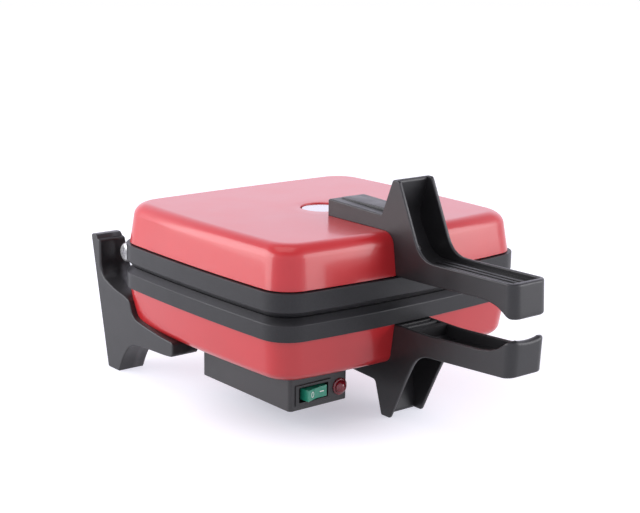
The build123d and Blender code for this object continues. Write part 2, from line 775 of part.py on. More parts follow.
def rocker():
    """Green see-saw key, right end pressed, on two short pins."""
    half = rocker_width / 2
    front = -rocker_centre_proud
    points = [(-half, front - rocker_end_rise), (0, front), (half, front - rocker_end_rise),
              (rocker_radius + 1, 0), (rocker_radius + 1, rocker_back), (-rocker_radius - 1, rocker_back),
              (-rocker_radius - 1, 0)]
    z = switch_z - rocker_height / 2
    face = make_face(Polyline(*[(x, y, z) for x, y in points], close=True))
    key = extrude(face, amount=rocker_height, dir=(0, 0, 1))
    key &= rod(2 * rocker_radius, (0, rocker_pivot_deep, z), (0, 0, 1), rocker_height)
    key += rod(rocker_pin_dia, (0, rocker_pivot_deep, z - rocker_pin_length), (0, 0, 1),
               rocker_height + 2 * rocker_pin_length)
    key = key.rotate(Axis((0, rocker_pivot_deep, 0), (0, 0, 1)), rocker_swing / 2)
    return Pos(switch_x, box_front, 0) * key


def lamp():
    """Red domed lens with its barrel, and the neon lamp inside."""
    lens = rod(lamp_flange_dia, (lamp_x, box_front, lamp_z), (0, -1, 0), lamp_flange + lamp_dome)
    lens = fillet(lens.edges().group_by(Axis.Y)[0], lamp_dome)
    lens += rod(lamp_barrel_dia, (lamp_x, box_front, lamp_z), (0, 1, 0), lamp_barrel_length)
    lens -= hole(neon_dia + 1.0, (lamp_x, box_front - 2, lamp_z), (0, 1, 0), lamp_barrel_length + 4)
    neon = rod(neon_dia, (lamp_x, box_front, lamp_z), (0, 1, 0), lamp_barrel_length + 2)
    base = rod(lamp_barrel_dia, (lamp_x, box_front + lamp_barrel_length, lamp_z), (0, 1, 0), 4.0)
    return lens, neon + base


def terminal_block():
    """Screw terminals on the housing's roof."""
    top = base_bottom - box_roof
    body = block(-80.0, -62.0, -52.0, -32.0, top - 12.0, top)
    for x in (-76.0, -71.0, -66.0):
        body -= hole(3.4, (x, -53, top - 7.0), (0, 1, 0), 22)
        body -= hole(3.0, (x, -42, top - 12.5), (0, 0, 1), 4)
    return body


def cord_bush():
    """Grommet in the housing's rear wall with the opening for the cord."""
    x = (box_left + box_right) / 2
    body = rod(bush_dia, (x, box_back - box_wall - 3.0, bush_z), (0, 1, 0), box_wall + 3.0)
    body += rod(bush_flange_dia, (x, box_back, bush_z), (0, 1, 0), 2.0)
    body += rod(bush_dia - 2, (x, box_back + 2.0, bush_z), (0, 1, 0), bush_length - 2.0)
    return body - hole(bush_bore, (x, box_back - 10, bush_z), (0, 1, 0), 30)


def thermostat():
    """Snap-disc thermostat on the back of the lower plate."""
    z = parting_z - band_lower
    body = rod(16.0, (57.0, -14.0, z), (0, 0, -1), 7.0) + rod(12.0, (57.0, -14.0, z - 7.0), (0, 0, -1), 4.0)
    for y in (-18.0, -10.0):
        body += block(54.0, 60.0, y - 0.4, y + 0.4, z - 17.0, z - 10.0)
    return body


def thermal_fuse():
    """One-shot thermal cut-out under its clip on the lower plate."""
    z = parting_z - band_lower
    body = rod(4.0, (-63.0, -14.0, z - 2.0), (1, 0, 0), 12.0)
    body += rod(1.0, (-71.0, -14.0, z - 2.0), (1, 0, 0), 28.0)
    clip = block(-60.0, -54.0, -19.0, -9.0, z - 5.2, z) - block(-61.0, -53.0, -16.0, -12.0, z - 4.0, z + 1)
    return [body, clip]


os.makedirs("parts", exist_ok=True)

save("upper_shell", upper_shell())
save("upper_plate", upper_plate())
save("upper_hinge_lugs", *upper_lugs())
save("upper_heating_element", heater(band_upper))
save("upper_element_straps", *straps(band_upper))
save("upper_strap_screws", *strap_screws(band_upper))
save("upper_stud", *centre_stud(band_upper, lid_top - dish_deep, washer_sheet + nut_height + 0.2))
save("cover_disc", cover_disc())
save("upper_handle", handle(band_upper, upper_upright, 0.0))
save("upper_handle_screws", *handle_screws(band_upper))

save("lower_shell", lower_shell())
save("lower_plate", lower_plate())
save("lower_hinge_lugs", *lower_lugs())
save("lower_heating_element", flipped(heater(band_lower)))
save("lower_element_straps", *[flipped(s) for s in straps(band_lower)])
save("lower_strap_screws", *[flipped(s) for s in strap_screws(band_lower)])
lower_seat = parting_z + base_w
save("lower_stud", *[flipped(s) for s in centre_stud(band_lower, lower_seat, washer_sheet + nut_height + 0.8)])
save("lower_handle", flipped(handle(band_lower, lower_upright, lower_lift)))
save("lower_handle_screws", *[flipped(s) for s in handle_screws(band_lower)])

right_leg = rear_leg()
save("rear_leg_right", right_leg)
save("rear_leg_left", opposite(right_leg))
save("leg_screws", *leg_screws())
save("spacer_sleeves", *sleeves())
save("thermostat", thermostat())
save("thermal_fuse", *thermal_fuse())

hinge_screw, hinge_nut, hinge_washers, hinge_bush = hinge_parts()
save("hinge_screw_right", hinge_screw)
save("hinge_screw_left", opposite(hinge_screw))
save("hinge_nuts", hinge_nut, opposite(hinge_nut))
save("hinge_washers", *hinge_washers, *[opposite(w) for w in hinge_washers])
save("hinge_bushes", hinge_bush, opposite(hinge_bush))

save("control_box", control_box())
save("control_box_cover", box_cover())
save("cover_screws", *cover_screws())
save("control_box_screws", *box_screws())
save("switch_housing", switch_housing())
save("switch_rocker", rocker())
lens, neon = lamp()
save("indicator_lens", lens)
save("indicator_lamp", neon)
save("terminal_block", terminal_block())
save("cord_bush", cord_bush())
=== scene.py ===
import math

import bmesh
import bpy
import numpy as np
from mathutils import Matrix, Vector


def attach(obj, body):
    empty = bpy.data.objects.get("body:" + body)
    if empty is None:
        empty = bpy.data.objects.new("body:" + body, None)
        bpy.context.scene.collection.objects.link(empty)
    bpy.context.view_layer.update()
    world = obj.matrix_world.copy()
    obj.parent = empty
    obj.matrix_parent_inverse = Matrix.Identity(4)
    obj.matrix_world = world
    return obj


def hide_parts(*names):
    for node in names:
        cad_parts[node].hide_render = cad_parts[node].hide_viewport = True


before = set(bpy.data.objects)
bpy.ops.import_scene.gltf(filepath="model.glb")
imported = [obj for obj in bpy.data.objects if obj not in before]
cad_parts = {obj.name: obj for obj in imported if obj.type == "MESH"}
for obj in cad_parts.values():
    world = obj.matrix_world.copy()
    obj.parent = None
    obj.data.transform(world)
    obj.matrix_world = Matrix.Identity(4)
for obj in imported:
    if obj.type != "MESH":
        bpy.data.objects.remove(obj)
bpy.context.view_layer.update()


# The covers are deep-drawn steel with a glossy red enamel, one over the lid and one under the
# base. Each stands on the rim of its hot plate and is drawn onto it by a stud in the middle.
body_half = 0.12425
body_front = -0.07375
body_rear = 0.15625
side_bow = 0.0035
front_bow = 0.007
rear_bow = 0.002
corner_front = 0.024
corner_rear = 0.031
corner_least = 0.004
front_shrink = 0.4
rear_shrink = 0.8
parting = 0.092
lid_band = 0.0185
base_band = 0.017
cover_rise = 0.0325
cover_lean = math.radians(8.0)
cover_ledge = 0.0025
cover_foot = np.array([0.0008, 0.001])
cover_sheet = 0.0012
cover_middle = np.array([0.0, 0.03625])
lid_round = 0.011
base_round = 0.0085
flat_rim = np.array([0.0015, 0.005])
stud_radius = 0.004
stud_rings = np.array([0.014, 0.009, stud_radius])
dish_radius = 0.0175
dish_rim = 0.0009
dish_wall = [-0.002, -0.003]
dish_depth = 0.0048
dish_flat = 0.012


def body_outline(inset, along=36):
    """Outline of the body drawn in by each inset, as an array (insets, points, 2).

    Each side is a circle through its two ends and its bowed middle. The centre of a corner's arc
    is the crossing of the two side circles drawn in by the corner's radius, which shrinks with the
    inset, and every arc is divided evenly by angle. The left half is the right half with x
    reversed.
    """
    inset = np.atleast_1d(np.asarray(inset, float))
    half = body_half - side_bow - inset
    front = body_front + front_bow + inset
    rear = body_rear - rear_bow - inset
    length = (rear - front) / 2
    front_r = (half ** 2 + front_bow ** 2) / (2 * front_bow)
    rear_r = (half ** 2 + rear_bow ** 2) / (2 * rear_bow)
    side_r = (length ** 2 + side_bow ** 2) / (2 * side_bow)
    zero = np.zeros_like(half)
    centres = {
        "front": (np.stack([zero, front - front_bow + front_r], -1), front_r),
        "side": (np.stack([half + side_bow - side_r, (front + rear) / 2], -1), side_r),
        "rear": (np.stack([zero, rear + rear_bow - rear_r], -1), rear_r),
    }

    def crossing(one, two, radius, side):
        (a, ra), (b, rb) = centres[one], centres[two]
        ra, rb = ra - radius, rb - radius
        gap = b - a
        d = np.linalg.norm(gap, axis=-1)
        k = (d ** 2 + ra ** 2 - rb ** 2) / (2 * d)
        h = np.sqrt(np.maximum(ra ** 2 - k ** 2, 0.0))
        unit = gap / d[:, None]
        return a + unit * k[:, None] + np.stack([-unit[:, 1], unit[:, 0]], -1) * (side * h)[:, None]

    def corner(one, two, radius):
        # two circles cross twice, and the body's right corner is the crossing with x above 0
        first = crossing(one, two, radius, 1.0)
        return np.where(first[:, :1] > 0, first, crossing(one, two, radius, -1.0))

    def bearing(point, centre):
        return np.arctan2(point[:, 1] - centre[:, 1], point[:, 0] - centre[:, 0])

    low_r = corner_front - front_shrink * inset
    high_r = np.maximum(corner_rear - rear_shrink * inset, corner_least)
    low = corner("front", "side", low_r)
    high = corner("side", "rear", high_r)
    a1 = bearing(low, centres["front"][0])
    a2 = bearing(low, centres["side"][0])
    a3 = bearing(high, centres["side"][0])
    a4 = bearing(high, centres["rear"][0])
    quarter = np.full_like(a1, math.pi / 2)
    runs = (
        (*centres["front"], -quarter, a1, along),
        (low, low_r, a1, a2, along // 2),
        (*centres["side"], a2, a3, along * 2),
        (high, high_r, a3, a4, along // 2),
        (*centres["rear"], a4, quarter, along),
    )
    parts = []
    for centre, radius, start, end, count in runs:
        t = np.arange(count) / count
        angle = start[:, None] + (end - start)[:, None] * t
        turn = np.stack([np.cos(angle), np.sin(angle)], -1)
        parts.append(centre[:, None, :] + radius[:, None, None] * turn)
    last = np.stack([zero, rear + rear_bow], -1)[:, None, :]
    right_half = np.concatenate(parts + [last], axis=1)
    left_half = right_half[:, -2:0:-1, :] * np.array([-1.0, 1.0])
    return np.concatenate([right_half, left_half], axis=1)


def grid_faces(rows, columns, around=True, turned=False, looped=False):
    """Quads of a grid of rows by columns, closed around its columns, its rows, both or neither."""
    last = columns if around else columns - 1
    i, j = np.meshgrid(np.arange(rows if looped else rows - 1), np.arange(last), indexing="ij")
    k = (j + 1) % columns
    n = (i + 1) % rows
    quads = np.stack([i * columns + j, i * columns + k, n * columns + k, n * columns + j], -1)
    quads = quads.reshape(-1, 4)
    return quads[:, ::-1] if turned else quads


def surface(name, points, faces, material, body, smooth=40.0, caps=(), settle=False):
    """A mesh from points and faces, smooth up to an angle, that rides on a body.

    Caps are further faces, each a list of points. Settling merges doubles and turns all faces
    outward.
    """
    mesh = bpy.data.meshes.new(name)
    mesh.from_pydata(np.asarray(points, float).reshape(-1, 3).tolist(), [],
                     np.asarray(faces).tolist() + [list(cap) for cap in caps])
    if settle:
        work = bmesh.new()
        work.from_mesh(mesh)
        bmesh.ops.remove_doubles(work, verts=work.verts, dist=1e-6)
        bmesh.ops.recalc_face_normals(work, faces=work.faces)
        work.to_mesh(mesh)
        work.free()
    mesh.materials.append(material)
    mesh.update()
    mesh.shade_smooth()
    if smooth < 180:
        mesh.set_sharp_from_angle(angle=math.radians(smooth))
    piece = bpy.data.objects.new(name, mesh)
    bpy.context.scene.collection.objects.link(piece)
    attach(piece, body)
    return piece


def cover(name, band, cover_round, up, dished, material, body):
    """A drawn cover as rings about the middle.

    A ring is the body's outline at an inset, at a height: a foot just clear of the plate, a wall
    that leans in, a quarter-round shoulder, and a flat top where the outline turns step by step
    into a circle about the stud. On the lid the circle then rolls down into the dish.
    """
    turn_height = cover_rise - cover_round
    wall_in = cover_ledge + turn_height * math.tan(cover_lean)
    foot_in = cover_ledge + cover_foot * math.tan(cover_lean)
    climb = np.linspace(0.0, 1.0, 8)[1:-1]
    angle = np.linspace(cover_lean, math.pi / 2, 22)
    centre_in = wall_in + cover_round / math.cos(cover_lean)
    inset = np.concatenate([foot_in, foot_in[-1] + (wall_in - foot_in[-1]) * climb,
                            centre_in - cover_round * np.cos(angle)])
    height = np.concatenate([cover_foot, cover_foot[-1] + (turn_height - cover_foot[-1]) * climb,
                             turn_height + cover_round * np.sin(angle)])
    inset = np.append(inset, inset[-1] + flat_rim)
    height = np.append(height, [cover_rise, cover_rise])
    rings = body_outline(inset)
    heights = np.broadcast_to(height[:, None], rings.shape[:2])
    around = rings[-1] - cover_middle
    bearing = np.arctan2(around[:, 1], around[:, 0])
    round_unit = np.stack([np.cos(bearing), np.sin(bearing)], -1)
    if dished:
        roll = np.linspace(0.0, math.pi / 2, 6)
        into, over = dish_rim * np.sin(roll), dish_rim * np.cos(roll)
        circle_r = np.concatenate([dish_radius + dish_rim - into, [dish_radius] * 2,
                                   dish_radius - dish_rim + over, [dish_flat, stud_radius]])
        circle_h = np.concatenate([-dish_rim + over, dish_wall,
                                   -dish_depth + dish_rim - into, [-dish_depth, -dish_depth]])
    else:
        circle_r = stud_rings
        circle_h = np.zeros(3)
    share = np.linspace(0.0, 1.0, 9)[1:-1, None, None]
    goal = cover_middle + circle_r[0] * round_unit
    between = rings[-1] * (1 - share) + goal * share
    circles = cover_middle + circle_r[:, None, None] * round_unit
    flat = np.full(between.shape[:2], cover_rise)
    sunk = np.broadcast_to((cover_rise + circle_h)[:, None], circles.shape[:2])
    plan = np.concatenate([rings, between, circles])
    level = np.concatenate([heights, flat, sunk])
    z = parting + up * (band + level)
    points = np.concatenate([plan, z[..., None]], axis=-1)
    faces = grid_faces(points.shape[0], points.shape[1], turned=up < 0)
    piece = surface(name, points, faces, material, body, smooth=180)
    sheet = piece.modifiers.new("sheet", "SOLIDIFY")
    sheet.thickness = cover_sheet
    sheet.offset = -1.0
    sheet.use_even_offset = True
    return piece


def new_finish(name, sockets):
    """A material with its shader's sockets set: it, its nodes, its shader and the place on it."""
    material = bpy.data.materials.new(name)
    material.use_nodes = True
    tree = material.node_tree
    shader = tree.nodes["Principled BSDF"]
    for socket, value in sockets.items():
        shader.inputs[socket].default_value = value
    return material, tree, shader, tree.nodes.new("ShaderNodeTexCoord").outputs["Object"]


def wired(tree, kind, output, sockets, **settings):
    """An output of a new node. A socket is given a value, or the output of a node that feeds it."""
    node = tree.nodes.new(kind)
    for setting, value in settings.items():
        setattr(node, setting, value)
    for socket, value in sockets.items():
        if isinstance(value, bpy.types.NodeSocket):
            tree.links.new(value, node.inputs[socket])
        else:
            node.inputs[socket].default_value = value
    return node.outputs[output]


def grain_noise(tree, place, scale, detail):
    """Noise from 0 to 1 at a place, with so many waves to the metre."""
    return wired(tree, "ShaderNodeTexNoise", "Fac", {"Vector": place, "Scale": scale, "Detail": detail})


def ranged(tree, value, low, high, start=0.0, end=1.0, **settings):
    """A value that goes from low to high while the one it follows goes from start to end."""
    return wired(tree, "ShaderNodeMapRange", "Result", {
        "Value": value, "From Min": start, "From Max": end, "To Min": low, "To Max": high}, **settings)


def mixed_colour(tree, share, one, two):
    """A colour that goes from one to two with a share."""
    return wired(tree, "ShaderNodeMix", "Result", {"Factor": share, "A": one, "B": two}, data_type="RGBA")


def shade_gloss(tree, shader, tone, dark, light, gloss, low, high, start=0.0, end=1.0):
    """Colours a shader from dark to light with a tone, and roughens it from low to high with a gloss."""
    colour = mixed_colour(tree, tone, (*dark, 1.0), (*light, 1.0))
    tree.links.new(colour, shader.inputs["Base Color"])
    tree.links.new(ranged(tree, gloss, low, high, start, end), shader.inputs["Roughness"])


def raise_grain(tree, shader, height, strength, distance):
    """Lets the light see a height as relief, to a depth in metres."""
    relief = wired(tree, "ShaderNodeBump", "Normal",
                   {"Height": height, "Strength": strength, "Distance": distance})
    tree.links.new(relief, shader.inputs["Normal"])


def enamel(name, colour):
    """Glossy enamel: slow clouds in its tone and its gloss, and a faint fine waviness."""
    material, tree, shader, place = new_finish(name, {
        "IOR": 1.5, "Coat Weight": 0.42, "Coat Roughness": 0.1, "Coat IOR": 1.5})
    cloud = grain_noise(tree, place, 28.0, 3.0)
    shade_gloss(tree, shader, cloud, [0.94 * c for c in colour],
                [min(1.0, 1.05 * c + 0.003) for c in colour], cloud, 0.27, 0.35)
    raise_grain(tree, shader, grain_noise(tree, place, 700.0, 2.0), 0.05, 0.0004)
    return material


red_enamel = enamel("red_enamel", (0.63, 0.02, 0.027))
lid_cover = cover("lid_cover", lid_band, lid_round, 1.0, True, red_enamel, "lid")
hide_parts("upper_shell")
base_cover = cover("base_cover", base_band, base_round, -1.0, False, red_enamel, "base")
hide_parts("lower_shell")


# The hot plates are cast aluminium with a black non-stick coat. Their machined edges show all
# round as the two black bands, and each holds two baking cavities with pressed-in squares.
edge_break = 0.0005
edge_limit = math.radians(25.0)
flat_limit = math.radians(0.4)
weld = 4e-6


def coated(name, colour, roughness, grain, relief, fleck=0.25, shine=0.5):
    """A moulded or coated surface with an even grain, a slow change of gloss and paler flecks."""
    material, tree, shader, place = new_finish(name, {"Specular IOR Level": shine})
    slow = grain_noise(tree, place, 45.0, 4.0)
    fine = grain_noise(tree, place, grain, 3.0)
    worn = ranged(tree, fine, 0.0, 1.0, 0.35, 0.8)
    paler = [c * (1 + 2.2 * fleck) + 0.004 * fleck for c in colour]
    shade_gloss(tree, shader, worn, colour, paler, slow, roughness - 0.05, roughness + 0.06, 0.3, 0.7)
    raise_grain(tree, shader, fine, relief, 0.0003)
    return material


def rounded(node, name, body, material, radius):
    """A merged copy of a carried-over solid with its flat faces joined and its edges rounded."""
    work = bmesh.new()
    work.from_mesh(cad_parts[node].data)
    bmesh.ops.remove_doubles(work, verts=work.verts, dist=weld)
    bmesh.ops.dissolve_limit(work, angle_limit=flat_limit, verts=work.verts, edges=work.edges,
                             delimit={"NORMAL"})
    mesh = bpy.data.meshes.new(name)
    work.to_mesh(mesh)
    work.free()
    for layer in [a for a in mesh.attributes if "normal" in a.name]:
        mesh.attributes.remove(layer)
    mesh.materials.clear()
    mesh.materials.append(material)
    mesh.polygons.foreach_set("material_index", np.zeros(len(mesh.polygons), dtype=np.int32))
    mesh.shade_smooth()
    mesh.set_sharp_from_angle(angle=edge_limit)
    piece = bpy.data.objects.new(name, mesh)
    bpy.context.scene.collection.objects.link(piece)
    edge = piece.modifiers.new("edges", "BEVEL")
    edge.width = radius
    edge.segments = 2
    edge.limit_method = "ANGLE"
    edge.angle_limit = edge_limit
    edge.use_clamp_overlap = False
    edge.harden_normals = True
    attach(piece, body)
    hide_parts(node)


def finish_nodes(material, *names):
    """Gives carried-over solids their finish."""
    for name in names:
        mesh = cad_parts[name].data
        mesh.materials.clear()
        mesh.materials.append(material)
        mesh.polygons.foreach_set("material_index", np.zeros(len(mesh.polygons), dtype=np.int32))


cast_coat = coated("cast_coat", (0.0165, 0.0163, 0.0185), 0.4, 1500.0, 0.22, shine=0.34)
rounded("upper_plate", "lid_plate", "lid", cast_coat, edge_break)
rounded("lower_plate", "base_plate", "base", cast_coat, edge_break)
finish_nodes(cast_coat, "upper_hinge_lugs", "lower_hinge_lugs")


# A sheathed heater lies on the back of each plate in a bent M, held by two pressed straps with
# screws into cast bosses. The base's plate carries the thermostat and the thermal fuse as well.
def metal(name, colour, roughness, grain, relief=0.1, shine=1.0):
    """A metal with fine marks in its tone, its gloss and its face."""
    material, tree, shader, place = new_finish(name, {"Metallic": shine})
    marks = grain_noise(tree, place, grain, 4.0)
    shade_gloss(tree, shader, marks, [0.86 * c for c in colour], [min(1.0, 1.08 * c) for c in colour],
                marks, max(0.04, roughness - 0.08), roughness + 0.1)
    raise_grain(tree, shader, marks, relief, 0.0001)
    return material


heater_sheath = metal("heater_sheath", (0.33, 0.31, 0.28), 0.42, 300.0)
zinc_steel = metal("zinc_steel", (0.62, 0.62, 0.6), 0.3, 900.0)
thermostat_can = metal("thermostat_can", (0.5, 0.5, 0.5), 0.35, 1200.0)
finish_nodes(heater_sheath, "upper_heating_element", "lower_heating_element")
finish_nodes(zinc_steel, "upper_element_straps", "lower_element_straps", "upper_strap_screws",
             "lower_strap_screws", "upper_stud", "lower_stud", "spacer_sleeves", "thermal_fuse")
finish_nodes(thermostat_can, "thermostat")


# The bright cap in the lid's dish is pressed from thin chromed sheet and hides the nut below it.
bright_disc = metal("bright_disc", (0.62, 0.61, 0.62), 0.16, 60.0, relief=0.02)
finish_nodes(bright_disc, "cover_disc")


# The handles are compression mouldings in black phenolic resin: a wall all round, a web between
# its sides, a pad on the arm and three ribs on the tray. The base's handle runs down into the
# front foot. Each is fixed by a screw through the cover's front wall and one up into its arm.
# Lengths in this section are in mm: u is forward of the plate's middle, w is from the parting.
bakelite = coated("bakelite", (0.0145, 0.0142, 0.0158), 0.37, 2400.0, 0.09, fleck=0.35)
plate_middle = 0.04825
handle_half = 17.5
handle_sheet = 2.8
handle_edge = 0.85
arm_end = 38.5
arm_corner = 3.2
arm_rise = 13.4
arm_seat = 0.4
pad_start = 41.0
pad_round = 5.0
pad_half = 3.0
pad_step = 0.65
web_gap = 0.4
cover_front = 122.0
cover_gap = 0.35
cover_wall = 21.5
shoulder_round = 11.0
bar_end = 238.2
bar_corner = 8.0
bar_lean = 1.5
lift_from = 154.0
tray_floor = 31.4
tray_under = 27.6
tray_end = 234.3
notch_roof = 2.4
lip_swell = (2.2, 0.9)
lip_thicker = 2.0
dip_half = 12.0
rib_half = 0.95
rib_rise = 1.6
rib_places = (-5.6, 0.0, 5.6)


def soft(points, reach, closed=False, steps=8):
    """A line with its corners rounded.

    Each corner V becomes the curve (1-t)^2 A + 2t(1-t) V + t^2 B, where A and B lie on its two
    sides at its reach, or at 0.45 of the shorter side where that is less.
    """
    line = np.asarray(points, float)
    if closed:
        line = np.concatenate([line[-1:], line, line[:1]])
    here = line[1:-1]
    before, after = line[:-2] - here, line[2:] - here
    far, near = np.linalg.norm(before, axis=1), np.linalg.norm(after, axis=1)
    size = np.minimum(np.broadcast_to(np.asarray(reach, float), far.shape), 0.45 * np.minimum(far, near))
    a = (here + before * (size / far)[:, None])[:, None]
    b = (here + after * (size / near)[:, None])[:, None]
    t = np.linspace(0.0, 1.0, steps)[None, :, None]
    curve = ((1 - t) ** 2 * a + 2 * t * (1 - t) * here[:, None] + t ** 2 * b).reshape(-1, 2)
    return curve if closed else np.concatenate([line[:1], curve, line[-1:]])


def at_handle(x, u, w, up):
    """Points of the scene from x, u forward of the plate's middle and w from the parting, in mm."""
    return np.stack(np.broadcast_arrays(x / 1000, plate_middle - u / 1000, parting + up * w / 1000), -1)


def handle_wall(top, low, dip):
    """The wall of a handle as path by section, both closed.

    The path is the outline in plan: straight sides, round front corners and small rear ones. The
    section goes up the outer face, over the top and down the inner face with round edges. Its
    heights come from the lines top and low at the path's u, and an edge's drop grows with the
    line's slope so that the edge stays round. The front leans back over its height, its lip has
    wider edges and more thickness, and its edge beside the parting dips in the middle.
    """
    straight = arm_end + arm_corner, bar_end - bar_corner - 0.2
    stops = np.unique(np.round(np.concatenate([top[:, 0], low[:, 0], np.linspace(42, 230, 40)]), 2))
    stops = stops[(stops > straight[0] + 0.1) & (stops < straight[1] - 0.1)]
    stops = np.concatenate([straight[:1], stops, straight[1:]])
    quarter = np.linspace(0.0, math.pi / 2, 15)
    back = np.linspace(0.0, math.pi / 2, 7)
    back_x, back_u = np.cos(back), np.sin(back)
    fx, fu = handle_half - bar_corner, bar_end - bar_corner
    rx, ru = handle_half - arm_corner, arm_end + arm_corner
    across_x = np.linspace(-fx, fx, 7)[1:-1]
    mirror = np.array([-1.0, 1.0, -1.0, 1.0])
    right = np.concatenate([
        np.stack([np.full_like(stops, handle_half), stops, np.ones_like(stops), 0 * stops], -1),
        np.stack([fx + bar_corner * np.cos(quarter), fu + bar_corner * np.sin(quarter),
                  np.cos(quarter), np.sin(quarter)], -1)])
    front = np.stack([-across_x, np.full(5, bar_end), np.zeros(5), np.ones(5)], -1)
    left = right[::-1] * mirror
    rear_left = np.stack([-rx - arm_corner * back_x, ru - arm_corner * back_u, -back_x, -back_u], -1)
    rear_right = rear_left[::-1] * mirror
    path = np.concatenate([right, front, left, rear_left[1:], rear_right[:-1]])
    x, u, nx, nu = path.T[:, :, None]

    # the section: 6 points round the outer low edge, 3 up the face, 6 round the outer top edge,
    # then the same down the inner face
    r, sheet = handle_edge, handle_sheet
    a = np.linspace(0.0, math.pi / 2, 6)
    deep = np.concatenate([r - r * np.sin(a), [0, 0, 0], r - r * np.cos(a), sheet - r + r * np.sin(a),
                           [sheet, sheet, sheet], sheet - r + r * np.cos(a)])
    rise = np.concatenate([r - r * np.cos(a), [r + 0.3, 0, r + 0.3], r - r * np.sin(a), r - r * np.cos(a),
                           [r + 0.3, 0, r + 0.3], r - r * np.sin(a)])
    share = np.concatenate([np.zeros(7), [0.5], np.ones(14), [0.5], np.zeros(7)])
    high = np.interp(u, top[:, 0], top[:, 1])
    deepest = np.interp(u, low[:, 0], low[:, 1])

    lip = np.maximum(nu, 0.0) * (u > 100)
    order = np.arange(len(deep))
    swell = 1 + np.where(order < 7, lip_swell[0], np.where(order < 15, lip_swell[1], 0.0)) * lip
    deep = deep * swell + lip_thicker * (order > 14) * lip
    rise = rise * swell
    deepest = deepest + dip * lip * np.maximum(0.0, 1 - (x / dip_half) ** 2)

    def stretch(line):
        step = 0.3
        ahead = np.interp(u + step, line[:, 0], line[:, 1])
        behind = np.interp(u - step, line[:, 0], line[:, 1])
        return np.minimum(np.sqrt(1 + ((ahead - behind) / (2 * step) * nx) ** 2), 3.0)

    w = deepest + (high - deepest) * share + rise * np.where(share < 0.5, stretch(low), -stretch(top))
    w = np.where(share == 0.5, (high + deepest) / 2, w)
    inward = deep + bar_lean * np.maximum(nu, 0.0) * np.clip((w - deepest) / (high - deepest), 0, 1)
    return x - nx * inward, u - nu * inward, w


def bar_along(u, half, top, bottom, edge):
    """A bar along u with round upper edges: rings of (x, w) at each u, for caps at both ends."""
    a = np.linspace(0.0, math.pi / 2, 5)
    side = np.concatenate([[0.0], edge * (1 - np.cos(a))])
    drop = np.concatenate([[1.0], edge * (1 - np.sin(a))])
    x = half[:, None] - side
    w = np.where(np.arange(6) == 0, bottom[:, None], top[:, None] - drop)
    x = np.concatenate([x, -x[:, ::-1]], axis=1)
    w = np.concatenate([w, w[:, ::-1]], axis=1)
    return x, np.broadcast_to(u[:, None], x.shape), w


